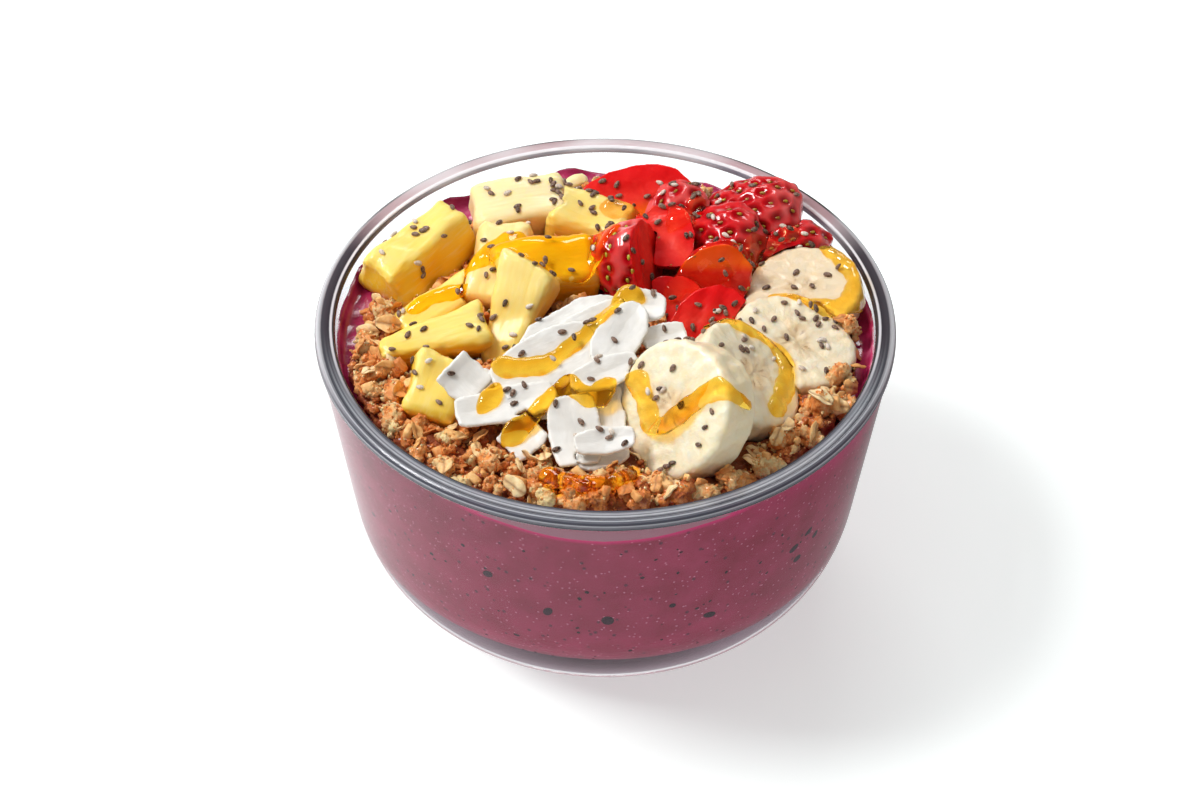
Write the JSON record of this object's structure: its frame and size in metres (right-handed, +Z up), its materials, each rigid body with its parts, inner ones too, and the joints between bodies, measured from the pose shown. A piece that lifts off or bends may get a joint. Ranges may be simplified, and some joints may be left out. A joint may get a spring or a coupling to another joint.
{
  "type": "dragon fruit bowl",
  "caption": "Round clear glass bowl with a rolled rim, filled with a dragon fruit smoothie and topped with granola, pineapple, strawberry, banana and coconut flakes.",
  "frame": {"origin": "middle of the bowl's foot, on the surface that the bowl stands on", "axes": "+Z up, -Y towards the side that the bowl is seen from, +X to its right; the tall banana slice leans out at the front right and the pineapple is on the left"},
  "size_m": [0.152, 0.152, 0.1038],
  "materials": {
    "glass": "clear and smooth",
    "smoothie": "thick, moist magenta smoothie",
    "granola": "rough toasted clusters",
    "pineapple": "juicy fibrous flesh",
    "strawberry": "glossy skin with seeds, moist cut faces",
    "banana": "soft moist flesh",
    "coconut": "dry thin shavings",
    "honey": "clear golden syrup",
    "chia": "small smooth mottled seeds"
  },
  "bodies": {
    "root": {"glass_bowl": "glass", "smoothie": "smoothie", "granola": "granola", "pineapple_1": "pineapple", "pineapple_2": "pineapple", "pineapple_3": "pineapple", "pineapple_4": "pineapple", "pineapple_5": "pineapple", "pineapple_6": "pineapple", "pineapple_7": "pineapple", "pineapple_8": "pineapple", "pineapple_9": "pineapple", "pineapple_10": "pineapple", "strawberry_1": "strawberry", "strawberry_2": "strawberry", "strawberry_3": "strawberry", "strawberry_4": "strawberry", "strawberry_5": "strawberry", "strawberry_6": "strawberry", "strawberry_7": "strawberry", "strawberry_8": "strawberry", "strawberry_9": "strawberry", "strawberry_10": "strawberry", "banana_1": "banana", "banana_2": "banana", "banana_3": "banana", "banana_4": "banana", "coconut_1": "coconut", "coconut_2": "coconut", "coconut_3": "coconut", "coconut_4": "coconut", "coconut_5": "coconut", "coconut_6": "coconut", "coconut_7": "coconut", "coconut_8": "coconut", "coconut_9": "coconut", "coconut_10": "coconut", "coconut_11": "coconut", "coconut_12": "coconut", "coconut_13": "coconut", "coconut_14": "coconut", "coconut_15": "coconut", "coconut_16": "coconut"}
  },
  "joints": []
}
